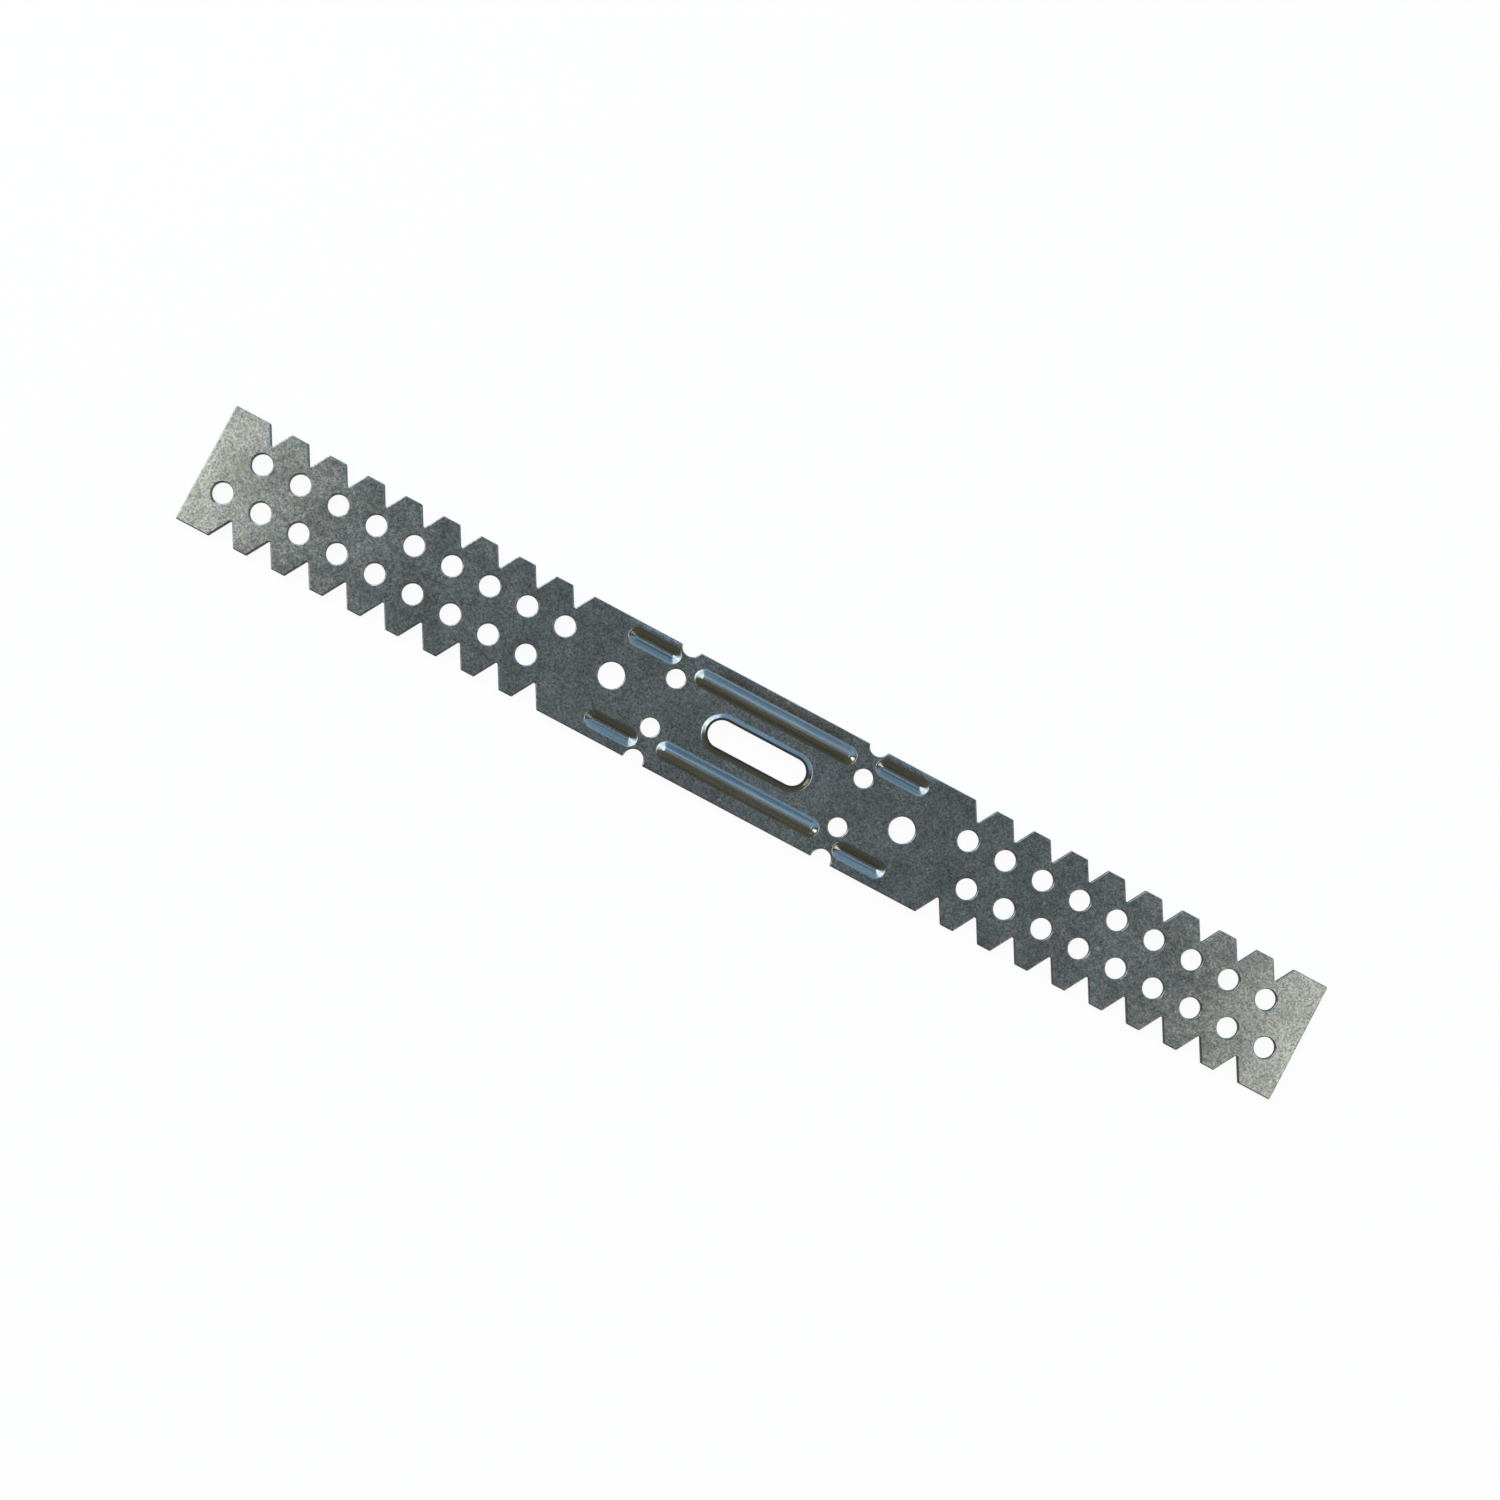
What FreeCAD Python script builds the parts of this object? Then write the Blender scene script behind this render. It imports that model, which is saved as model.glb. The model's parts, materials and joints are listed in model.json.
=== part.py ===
import FreeCAD, Part
import math
import os

import Sketcher

# Direct hanger for ceiling battens: one strip of zinc-coated sheet steel, punched and pressed flat.
# The base between the two bend lines is screwed to the ceiling through the slot or the fixing holes.
# The legs are bent down at the bend lines and screwed to the batten at any of their staggered holes.
#
# X runs along the strip, Y across it and Z up, towards the face with the raised beads.
# The strip lies as it comes to rest, on the undersides of its four sunk beads, at Z = 0.
# The origin is under the middle of the strip's outline.

NODE = "hanger_strip"

# Driving dimensions in millimetres and degrees: name, value, what it is.
SIZES = [
    ("base_width", "50", "from bend line to bend line"),
    ("leg_length", "120.5", "from bend line to the end of the strip"),
    ("strip_width", "30", "width of the strip"),
    ("sheet_thickness", "1", "thickness of the sheet"),
    ("punch_offset", "0.45", "punched pattern's centreline beside the strip's own centreline"),
    ("hole_pitch", "10", "feed of the strip between two strokes of the leg punch"),
    ("first_stroke", "28.75", "from bend line to the first notch pair of a leg"),
    ("end_margin", "6", "least distance from the last leg hole to the end of the strip"),
    ("leg_hole_dia", "5.1", "screw holes of the legs"),
    ("leg_row_gap", "10.2", "between the two rows of leg holes"),
    ("notch_root_gap", "20.2", "between the flat roots of two opposite edge notches"),
    ("notch_root_width", "0.5", "flat root of an edge notch"),
    ("notch_angle", "60", "included angle of an edge notch"),
    ("bend_hole_dia", "4.6", "holes that weaken a bend line"),
    ("bend_hole_inset", "8.5", "from the strip's edge in to a hole of a bend line"),
    ("bend_notch_dia", "4.9", "round edge notches that mark a bend line, centred on the edge"),
    ("fixing_hole_dia", "6.4", "holes for the ceiling screws"),
    ("fixing_hole_reach", "13.75", "from bend line to a fixing hole"),
    ("slot_length", "25.3", "clear length of the fixing slot"),
    ("slot_width", "6.6", "clear width of the fixing slot"),
    ("collar_reach", "1.45", "from the slot's edge out to the foot of its raised collar"),
    ("collar_lip", "0.6", "width of the collar's flat lip"),
    ("collar_height", "0.55", "rise of the collar above the sheet's upper face"),
    ("bead_width", "4.6", "from foot to foot across a pressed bead"),
    ("bead_crown_radius", "2", "outer rounding along the crest of a bead"),
    ("bead_rise", "1.3", "height of a bead above the face it rises from"),
    ("raised_bead_length", "42.8", "raised beads that stiffen the base"),
    ("raised_bead_inset", "5.4", "from the strip's edge in to the crest of a raised bead"),
    ("sunk_bead_length", "13.8", "sunk beads that stiffen the root of a leg"),
    ("sunk_bead_inset", "4", "from the strip's edge in to the crest of a sunk bead"),
    ("sunk_bead_start", "1.1", "from bend line to the near end of a sunk bead"),
]

# Lengths that several features share, as formulas of the sheet's cells.
HALF_BASE = "Sizes.base_width / 2"
HALF_WIDTH = "Sizes.strip_width / 2"
THICKNESS = "Sizes.sheet_thickness"
FIRST_STROKE_X = HALF_BASE + " + Sizes.first_stroke"
STROKE_ROOM = "Sizes.leg_length - Sizes.first_stroke - Sizes.hole_pitch / 2 - Sizes.end_margin"
STROKE_COUNT = "floor((" + STROKE_ROOM + ") / Sizes.hole_pitch) + 1"
BEAD_HALF_WIDTH = "Sizes.bead_width / 2"
COLLAR_HALF_WIDTH = "Sizes.slot_width / 2 + Sizes.collar_reach"

# Points of a sketch element, and the sketch's own origin and axes, as the sketcher counts them.
START, END, CENTRE = 1, 2, 3
ORIGIN = (-1, 1)
U_AXIS, V_AXIS = -1, -2
ON_AXIS = ""

doc = FreeCAD.newDocument("direct_hanger")


def fill_sheet():
    """Write the driving dimensions into a spreadsheet, each cell under its own name."""
    sheet = doc.addObject("Spreadsheet::Sheet", "Sizes")
    for row, (name, value, meaning) in enumerate(SIZES, start=1):
        sheet.set(f"A{row}", name)
        sheet.set(f"B{row}", value)
        sheet.setAlias(f"B{row}", name)
        sheet.set(f"C{row}", meaning)
    doc.recompute()


fill_sheet()
body = doc.addObject("PartDesign::Body", NODE)
body.Label = NODE


def origin_feature(role):
    """One of the body's own planes or axes, such as XY_Plane."""
    return next(feature for feature in body.Origin.OriginFeatures if feature.Role == role)


def new_sketch(name, role, shift=("0", "0", "0"), turned_over=False):
    """A sketch on an origin plane, shifted by three formulas and, if asked, turned over its U axis."""
    sketch = body.newObject("Sketcher::SketchObject", name)
    sketch.AttachmentSupport = [(origin_feature(role), "")]
    sketch.MapMode = "FlatFace"
    turn = FreeCAD.Rotation(FreeCAD.Vector(1, 0, 0), 180 if turned_over else 0)
    sketch.AttachmentOffset = FreeCAD.Placement(FreeCAD.Vector(), turn)
    for axis, formula in zip("xyz", shift):
        sketch.setExpression("AttachmentOffset.Base." + axis, formula)
    return sketch


def relate(sketch, kind, *elements):
    """Add a constraint without a number, such as Coincident or Tangent."""
    sketch.addConstraint(Sketcher.Constraint(kind, *elements))


def value(formula):
    """What a formula gives now, so that a sketch starts near its final shape."""
    return float(body.evalExpression(formula))


def measure(sketch, name, kind, elements, formula):
    """Add a named dimension to a sketch and bind it to the sheet."""
    index = sketch.addConstraint(Sketcher.Constraint(kind, *elements, value(formula)))
    sketch.renameConstraint(index, name)
    sketch.setExpression("Constraints." + name, formula)


def pin(sketch, name, element, point, u_formula, v_formula):
    """Hold a point at its distances from the sketch's origin, or on an axis where there is no formula."""
    if u_formula == ON_AXIS:
        relate(sketch, "PointOnObject", element, point, V_AXIS)
    else:
        measure(sketch, name + "_u", "DistanceX", (*ORIGIN, element, point), u_formula)
    if v_formula == ON_AXIS:
        relate(sketch, "PointOnObject", element, point, U_AXIS)
    else:
        measure(sketch, name + "_v", "DistanceY", (*ORIGIN, element, point), v_formula)


def outline(sketch, corners):
    """A closed run of straight sides through corners given as pairs of formulas."""
    count = len(corners)
    rough = [FreeCAD.Vector(i % 2, i // 2, 0) for i in range(count)]
    sides = []
    for i in range(count):
        sides.append(sketch.addGeometry(Part.LineSegment(rough[i], rough[(i + 1) % count]), False))
    for i in range(count):
        relate(sketch, "Coincident", sides[i], END, sides[(i + 1) % count], START)
        pin(sketch, f"corner{i}", sides[i], START, *corners[i])


def line(sketch, start, end):
    """A straight element between two rough places; returns its number in the sketch."""
    ends = (FreeCAD.Vector(*start, 0), FreeCAD.Vector(*end, 0))
    return sketch.addGeometry(Part.LineSegment(*ends), False)


def hole(sketch, name, u_formula, v_formula, dia_formula):
    """A round hole about a pinned centre."""
    circle = Part.Circle(FreeCAD.Vector(1, 1, 0), FreeCAD.Vector(0, 0, 1), 1)
    number = sketch.addGeometry(circle, False)
    measure(sketch, name + "_dia", "Diameter", (number,), dia_formula)
    pin(sketch, name, number, CENTRE, u_formula, v_formula)


def arc(sketch, centre, radius, first_deg, last_deg):
    """A round element about a rough place, anticlockwise; returns its number in the sketch."""
    circle = Part.Circle(FreeCAD.Vector(*centre, 0), FreeCAD.Vector(0, 0, 1), radius)
    piece = Part.ArcOfCircle(circle, math.radians(first_deg), math.radians(last_deg))
    return sketch.addGeometry(piece, False)


def pad(name, sketch, formula, reverse=False):
    """Grow a sketch into sheet metal along its own normal, or against it."""
    feature = body.newObject("PartDesign::Pad", name)
    feature.Profile = sketch
    feature.Reversed = reverse
    feature.setExpression("Length", formula)
    return feature


def cut_through(name, sketch):
    """Punch a sketch that lies on the underside up through the whole sheet."""
    doc.recompute()
    before = body.Tip.Shape.Volume
    feature = body.newObject("PartDesign::Pocket", name)
    feature.Profile = sketch
    feature.Type = "ThroughAll"
    feature.Reversed = True
    doc.recompute()
    if feature.Shape.Volume >= before:
        raise RuntimeError(name + " removed no metal")
    return feature


def mirror(name, support, element=""):
    """One mirroring step of a pattern, across an origin plane or a sketch axis."""
    step = body.newObject("PartDesign::Mirrored", name)
    step.MirrorPlane = (support, [element])
    return step


def to_other_leg(name):
    """Mirror along the strip."""
    return mirror(name, origin_feature("YZ_Plane"))


def to_other_edge(name):
    """Mirror across the strip."""
    return mirror(name, origin_feature("XZ_Plane"))


def strokes(name):
    """The leg punch's strokes: as many as the leg has room for, one feed apart along the strip."""
    step = body.newObject("PartDesign::LinearPattern", name)
    step.Direction = (origin_feature("X_Axis"), [""])
    step.Mode = "Spacing"
    step.setExpression("Offset", "Sizes.hole_pitch")
    step.setExpression("Occurrences", STROKE_COUNT)
    return step


def repeat(name, originals, steps):
    """Repeat features through several steps and make the result the body's last feature."""
    pattern = body.newObject("PartDesign::MultiTransform", name)
    pattern.Originals = originals
    pattern.Transformations = steps
    pattern.Refine = True
    body.Tip = pattern
    doc.recompute()


def blank():
    """The flat strip, cut to length; its centreline lies beside the punched pattern's."""
    sketch = new_sketch("blank_outline", "XY_Plane", ("0", "-Sizes.punch_offset", "0"))
    half_length = HALF_BASE + " + Sizes.leg_length"
    left, right = f"-({half_length})", half_length
    lower, upper = f"-({HALF_WIDTH})", HALF_WIDTH
    outline(sketch, [(left, lower), (right, lower), (right, upper), (left, upper)])
    pad("blank", sketch, THICKNESS)


def leg_holes():
    """Two staggered screw holes for each stroke of the leg punch, in both legs."""
    sketch = new_sketch("leg_hole_pair", "XY_Plane")
    row = "Sizes.leg_row_gap / 2"
    half_feed_on = FIRST_STROKE_X + " + Sizes.hole_pitch / 2"
    hole(sketch, "upper", FIRST_STROKE_X, row, "Sizes.leg_hole_dia")
    hole(sketch, "lower", half_feed_on, f"-({row})", "Sizes.leg_hole_dia")
    stroke = cut_through("leg_hole_stroke", sketch)
    repeat("leg_holes", [stroke], [strokes("hole_strokes"), to_other_leg("hole_legs")])


def edge_notches():
    """V notches that let a leg be broken off at any stroke: one at each edge, with a flat root."""
    sketch = new_sketch("edge_notch_outline", "XY_Plane", (FIRST_STROKE_X, "0", "0"))
    root = "Sizes.notch_root_gap / 2"
    mouth = "Sizes.strip_width"
    half_root = "Sizes.notch_root_width / 2"
    half_mouth = f"{half_root} + ({mouth} - {root}) * tan(Sizes.notch_angle / 2 * 1 deg)"
    root_side = [(f"-({half_root})", root), (half_root, root)]
    mouth_side = [(half_mouth, mouth), (f"-({half_mouth})", mouth)]
    outline(sketch, root_side + mouth_side)
    stroke = cut_through("edge_notch_stroke", sketch)
    steps = [strokes("notch_strokes"), to_other_edge("notch_edges"), to_other_leg("notch_legs")]
    repeat("edge_notches", [stroke], steps)


def bend_lines():
    """Each bend line: two holes in the sheet and a round notch in each edge."""
    sketch = new_sketch("bend_line_half", "XY_Plane")
    hole(sketch, "inner", HALF_BASE, f"{HALF_WIDTH} - Sizes.bend_hole_inset", "Sizes.bend_hole_dia")
    hole(sketch, "edge", HALF_BASE, HALF_WIDTH, "Sizes.bend_notch_dia")
    stroke = cut_through("bend_line_stroke", sketch)
    repeat("bend_lines", [stroke], [to_other_edge("bend_edges"), to_other_leg("bend_legs")])


def fixing_holes():
    """One larger hole at the root of each leg."""
    sketch = new_sketch("fixing_hole_outline", "XY_Plane")
    hole(sketch, "fixing", HALF_BASE + " + Sizes.fixing_hole_reach", ON_AXIS, "Sizes.fixing_hole_dia")
    stroke = cut_through("fixing_hole_stroke", sketch)
    repeat("fixing_holes", [stroke], [to_other_leg("fixing_legs")])


def footprint(name, centre, half_straight, half_width):
    """A quarter of a long round-ended outline, about its own centre."""
    sketch = new_sketch(name, "XY_Plane", (*centre, "0"))
    reach = value(half_straight)
    radius = value(half_width)
    base = line(sketch, (0, 0), (reach + radius, 0))
    bend = arc(sketch, (reach, 0), radius, 0, 90)
    side = line(sketch, (reach, radius), (0, radius))
    back = line(sketch, (0, radius), (0, 0))
    relate(sketch, "Coincident", base, START, *ORIGIN)
    relate(sketch, "PointOnObject", base, END, U_AXIS)
    relate(sketch, "Coincident", base, END, bend, START)
    relate(sketch, "Tangent", bend, END, side, START)
    relate(sketch, "Horizontal", side)
    relate(sketch, "Coincident", side, END, back, START)
    relate(sketch, "PointOnObject", back, START, V_AXIS)
    relate(sketch, "Coincident", back, END, *ORIGIN)
    pin(sketch, "end_centre", bend, CENTRE, half_straight, ON_AXIS)
    measure(sketch, "half_width", "Radius", (bend,), half_width)
    return sketch


def bead_section(sketch):
    """Half a bead's section: a round crown that runs on into straight flanks, at full sheet thickness.

    Both faces of the crown turn about one centre on the crest line, and the two flanks are parallel.
    """
    outer_crown = arc(sketch, (0, 0.3), 2, 50, 90)
    outer_flank = line(sketch, (1.3, 1.8), (2.3, 1))
    foot = line(sketch, (2.3, 1), (2.3, 0))
    underside = line(sketch, (2.3, 0), (1.9, 0))
    inner_flank = line(sketch, (1.9, 0), (0.6, 1.1))
    inner_crown = arc(sketch, (0, 0.3), 1, 50, 90)
    spine = line(sketch, (0, 1.3), (0, 2.3))
    relate(sketch, "Tangent", outer_crown, START, outer_flank, START)
    relate(sketch, "Coincident", outer_flank, END, foot, START)
    relate(sketch, "Coincident", foot, END, underside, START)
    relate(sketch, "Coincident", underside, END, inner_flank, START)
    relate(sketch, "Tangent", inner_flank, END, inner_crown, START)
    relate(sketch, "Coincident", inner_crown, END, spine, START)
    relate(sketch, "Coincident", spine, END, outer_crown, END)
    relate(sketch, "Coincident", inner_crown, CENTRE, outer_crown, CENTRE)
    relate(sketch, "PointOnObject", outer_crown, CENTRE, V_AXIS)
    relate(sketch, "PointOnObject", inner_flank, START, U_AXIS)
    relate(sketch, "Parallel", inner_flank, outer_flank)
    measure(sketch, "crown_radius", "Radius", (outer_crown,), "Sizes.bead_crown_radius")
    pin(sketch, "crest", outer_crown, END, ON_AXIS, f"{THICKNESS} + Sizes.bead_rise")
    pin(sketch, "under_crest", inner_crown, END, ON_AXIS, "Sizes.bead_rise")
    pin(sketch, "foot", foot, START, BEAD_HALF_WIDTH, THICKNESS)
    pin(sketch, "edge", foot, END, BEAD_HALF_WIDTH, ON_AXIS)


def collar_section(sketch):
    """The raised collar's section: the sheet turned up towards the slot and cut off at its edge.

    The flanks are parallel, one sheet thickness apart, and end above in a narrow flat lip.
    """
    slot_edge = "Sizes.slot_width / 2"
    lip_level = f"{THICKNESS} + Sizes.collar_height"
    outer_flank = line(sketch, (4.9, 1), (3.95, 2))
    lip = line(sketch, (3.95, 2), (3.5, 2))
    wall = line(sketch, (3.5, 2), (3.5, 1))
    inner_flank = line(sketch, (3.5, 1), (4.45, 0))
    underside = line(sketch, (4.45, 0), (4.9, 0))
    foot = line(sketch, (4.9, 0), (4.9, 1))
    sides = [outer_flank, lip, wall, inner_flank, underside, foot]
    for side, next_side in zip(sides, sides[1:] + sides[:1]):
        relate(sketch, "Coincident", side, END, next_side, START)
    relate(sketch, "Vertical", wall)
    relate(sketch, "PointOnObject", underside, START, U_AXIS)
    relate(sketch, "Parallel", inner_flank, outer_flank)
    measure(sketch, "sheet", "Distance", (outer_flank, START, inner_flank), THICKNESS)
    pin(sketch, "edge", foot, START, COLLAR_HALF_WIDTH, ON_AXIS)
    pin(sketch, "foot", outer_flank, START, COLLAR_HALF_WIDTH, THICKNESS)
    pin(sketch, "lip_out", lip, START, f"{slot_edge} + Sizes.collar_lip", lip_level)
    pin(sketch, "lip_in", lip, END, slot_edge, lip_level)


def press(name, centre, half_straight, half_width, draw_section, copies, sinks=False):
    """Replace the flat sheet inside a long round-ended outline by pressed sheet of the given section.

    A quarter is modelled: its flat metal is cut away, the section is carried along the straight
    and turned about the end. Mirroring across the outline's own two axes makes the whole.
    A feature that sinks has its section sketch turned over, with its origin on the upper face.
    """
    quarter = footprint(name + "_footprint", centre, half_straight, half_width)
    opened = cut_through(name + "_opening", quarter)
    end_plane = f"{centre[0]} + {half_straight}"
    level = THICKNESS if sinks else "0"
    section = new_sketch(name + "_section", "YZ_Plane", (centre[1], level, end_plane), sinks)
    draw_section(section)
    run = pad(name + "_run", section, half_straight, reverse=not sinks)
    end = body.newObject("PartDesign::Revolution", name + "_end")
    end.Profile = section
    end.ReferenceAxis = (section, ["V_Axis"])
    end.Angle = 90
    end.Reversed = not sinks
    doc.recompute()
    steps = [mirror(name + "_halves", quarter, "V_Axis"), mirror(name + "_sides", quarter, "H_Axis")]
    repeat(name, [opened, run, end], steps + copies)


def raised_beads():
    """Two long beads, raised towards +Z, that stiffen the base beside the slot."""
    centre = ("0", f"{HALF_WIDTH} - Sizes.raised_bead_inset")
    half_straight = f"(Sizes.raised_bead_length / 2 - {BEAD_HALF_WIDTH})"
    copies = [to_other_edge("raised_pair")]
    press("raised_beads", centre, half_straight, BEAD_HALF_WIDTH, bead_section, copies)


def sunk_beads():
    """Four short beads, sunk towards -Z, that stiffen the roots of the legs."""
    centre_x = f"{HALF_BASE} + Sizes.sunk_bead_start + Sizes.sunk_bead_length / 2"
    centre = (centre_x, f"{HALF_WIDTH} - Sizes.sunk_bead_inset")
    half_straight = f"(Sizes.sunk_bead_length / 2 - {BEAD_HALF_WIDTH})"
    copies = [to_other_edge("sunk_edges"), to_other_leg("sunk_legs")]
    press("sunk_beads", centre, half_straight, BEAD_HALF_WIDTH, bead_section, copies, sinks=True)


def fixing_slot():
    """The long slot in the middle of the base, with its raised collar."""
    half_straight = "(Sizes.slot_length - Sizes.slot_width) / 2"
    press("fixing_slot", ("0", "0"), half_straight, COLLAR_HALF_WIDTH, collar_section, [])


def place():
    """Bring the strip's outline over the origin and the sunk beads' undersides to Z = 0."""
    body.setExpression("Placement.Base.y", "Sizes.punch_offset")
    body.setExpression("Placement.Base.z", "Sizes.bead_rise")
    doc.recompute()


def check():
    """Stop if any feature failed, any sketch is loose, or the strip isn't one valid solid."""
    for item in doc.Objects:
        if "Invalid" in item.State or "Error" in item.State:
            raise RuntimeError(item.Name + " did not build: " + item.getStatusString())
        if item.TypeId == "Sketcher::SketchObject" and not item.FullyConstrained:
            raise RuntimeError(item.Name + " is not fully constrained")
    shape = body.Shape
    if shape.isNull() or not shape.isValid() or len(shape.Solids) != 1:
        raise RuntimeError(NODE + " is not one valid solid")


blank()
leg_holes()
edge_notches()
bend_lines()
fixing_holes()
raised_beads()
sunk_beads()
fixing_slot()
place()
check()

os.makedirs("parts", exist_ok=True)
body.Shape.exportStep("parts/" + body.Label + ".step")
print(NODE, "volume", round(body.Shape.Volume, 2), "mm3, box", body.Shape.BoundBox)
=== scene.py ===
# %% [markdown]
# # A direct hanger, punched and pressed from galvanised strip
# The hanger is one strip of zinc-coated sheet steel, punched and pressed in one tool and sold flat.
# The CAD solid is loaded first. It fixes the place and the size of everything and is never moved.
# Its edges are perfectly sharp, so this lesson builds the same strip again as a finer skin with the
# rounding that punches and dies leave, and then gives it a zinc finish, a floor, soft light and a
# camera.

# %% Load the frame
import json

import bpy
import numpy as np
from mathutils import Matrix, Vector
from mathutils.bvhtree import BVHTree
from mathutils.geometry import delaunay_2d_cdt


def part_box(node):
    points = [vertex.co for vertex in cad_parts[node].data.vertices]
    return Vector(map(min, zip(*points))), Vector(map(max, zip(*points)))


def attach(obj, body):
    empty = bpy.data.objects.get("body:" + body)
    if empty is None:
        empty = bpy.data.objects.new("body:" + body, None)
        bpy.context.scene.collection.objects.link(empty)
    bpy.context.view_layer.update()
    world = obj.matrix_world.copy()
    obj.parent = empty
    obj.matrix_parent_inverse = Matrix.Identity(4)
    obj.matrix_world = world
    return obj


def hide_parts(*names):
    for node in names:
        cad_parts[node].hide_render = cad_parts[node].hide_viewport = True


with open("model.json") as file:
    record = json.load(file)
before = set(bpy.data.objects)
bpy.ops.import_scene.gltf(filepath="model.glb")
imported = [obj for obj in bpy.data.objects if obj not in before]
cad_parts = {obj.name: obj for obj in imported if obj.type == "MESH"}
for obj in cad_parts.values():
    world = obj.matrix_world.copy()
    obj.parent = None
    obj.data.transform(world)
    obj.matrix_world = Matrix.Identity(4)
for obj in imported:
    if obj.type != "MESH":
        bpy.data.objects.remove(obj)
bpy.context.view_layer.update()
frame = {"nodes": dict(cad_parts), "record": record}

# %% [markdown]
# ## Sizes
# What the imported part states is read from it: the box, the levels of the sheet and every screw hole.
# The part's record doesn't state the notches, the bites, the collar and the beads, so their sizes are
# named where they are first needed. All lengths are in millimetres until the mesh is made.

# %% Read the sheet and the screw holes from the frame
MM = 0.001
mounts = {mount["name"]: mount for mount in frame["record"]["mounts"]}
low, high = (np.array(corner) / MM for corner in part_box("hanger_strip"))
UNDER = mounts["base_face"]["pos_m"][2] / MM
BEAD_RISE = UNDER - low[2]
TOP = high[2] - BEAD_RISE
THICKNESS = TOP - UNDER
PATTERN_Y = mounts["fixing_slot"]["pos_m"][1] / MM
half_strip = (high[1] - low[1]) / 2


def screw_holes(prefix):
    """Centres of all mirrored hole pairs whose mount name starts with prefix, and their radius."""
    pairs = [mount for name, mount in mounts.items() if name.startswith(prefix)]
    reach = np.array([pair["dims"]["spacing_x_mm"] / 2 for pair in pairs])
    across = np.array([pair["pos_m"][1] / MM for pair in pairs])
    centres = np.column_stack([np.concatenate([-reach, reach]), np.concatenate([across, across])])
    return centres, pairs[0]["dims"]["hole_r_mm"]


leg_holes, LEG_HOLE_RADIUS = screw_holes("leg_holes")
fixing_holes, FIXING_HOLE_RADIUS = screw_holes("fixing_holes")
print(f"strip {high[0] - low[0]:.1f} x {2 * half_strip:.1f} mm, {THICKNESS:.2f} mm thick")
print(f"underside at z = {UNDER:.2f} mm, {len(leg_holes)} leg holes")

# %% [markdown]
# ## Lines with softened corners
# Every edge of the strip is a line of corners: the outline seen from above, and also the section through
# a punched edge or a bead. On the real strip no corner is sharp. A Bevel modifier could round the mesh,
# but it gives all edges one rounding, so one helper turns each corner on an arc of its own. It also
# returns the heading at each point, because a heading turned by a right angle is an exact surface
# normal, and exact normals shade smoothly without extra faces.


# %% Turn corners on arcs
def soften(corners, radii, steps, closed=False):
    """Points and headings along a line of corners, each corner turned on an arc of its own radius.

    The arc starts its radius times the tangent of half the turn before the corner, and the heading
    turns evenly along it. A corner with no radius stays one point, headed halfway between its sides.
    """
    corners, radii = np.asarray(corners, float), np.asarray(radii, float)
    sides = np.roll(corners, -1, axis=0) - corners
    leaving = np.arctan2(sides[:, 1], sides[:, 0])
    arriving = np.roll(leaving, 1)
    if not closed:
        arriving[0], leaving[-1] = leaving[0], arriving[-1]
    turn = (leaving - arriving + np.pi) % (2 * np.pi) - np.pi
    ahead = np.column_stack([np.cos(arriving), np.sin(arriving)])
    left = np.column_stack([-ahead[:, 1], ahead[:, 0]])
    start = corners - ahead * (radii * np.abs(np.tan(turn / 2)))[:, None]
    signed = (radii * np.sign(turn))[:, None]
    centre = start + left * signed
    heading = arriving[:, None] + turn[:, None] * np.linspace(0, 1, steps + 1)
    outward = np.stack([np.sin(heading), -np.cos(heading)], axis=2)
    points = centre[:, None] + outward * signed[:, None]
    rounded = radii > 0
    heading[~rounded, 0] += turn[~rounded] / 2
    keep = rounded[:, None] | (np.arange(steps + 1) == 0)
    return points[keep], heading[keep]


# %% [markdown]
# ## The outline
# Going round the strip anticlockwise, each long edge has the leg notches, which are V-shaped with a flat
# root, and a round bite at either bend line. The notches stand at the same places along the strip as
# the upper row of leg holes, so they are read from those. The straight stretches beside the beads also
# get points, because the press has bent them a little.

# %% Notches and bites of one long edge
NOTCH_ROOT_GAP, NOTCH_ROOT_WIDTH, NOTCH_ANGLE_DEG = 20.2, 0.5, 60.0
BITE_RADIUS, BITE_POINTS = 2.45, 33
CORNER_ROUNDING, ROOT_ROUNDING = 0.36, 0.12
stroke_x = np.unique(leg_holes[leg_holes[:, 1] > PATTERN_Y, 0].round(4))


def leg_notches(side):
    """Corners and roundings of all V-shaped notches on one edge, with x rising.

    A notch's mouth is its root plus, on both sides, its depth times the tangent of half its angle.
    """
    edge = side * half_strip
    root = PATTERN_Y + side * NOTCH_ROOT_GAP / 2
    half_root = NOTCH_ROOT_WIDTH / 2
    half_mouth = half_root + abs(edge - root) * np.tan(np.radians(NOTCH_ANGLE_DEG / 2))
    notch = np.array([[-half_mouth, edge], [-half_root, root], [half_root, root], [half_mouth, edge]])
    notches = notch + np.column_stack([stroke_x, 0 * stroke_x])[:, None]
    roundings = [CORNER_ROUNDING, ROOT_ROUNDING, ROOT_ROUNDING, CORNER_ROUNDING]
    return notches.reshape(-1, 2), np.tile(roundings, len(stroke_x))


def bend_bite(side):
    """Corners and roundings of one round bite at x = 0: the part of a circle that lies in the strip."""
    centre_y = PATTERN_Y + side * half_strip
    lean = np.arcsin((side * half_strip - centre_y) * side / BITE_RADIUS)
    sweep = np.linspace(np.pi + lean, -lean, BITE_POINTS)
    bite = BITE_RADIUS * np.column_stack([np.cos(sweep), -side * np.sin(sweep)])
    roundings = np.zeros(BITE_POINTS)
    roundings[[0, -1]] = CORNER_ROUNDING
    return bite + (0, centre_y), roundings


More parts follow.
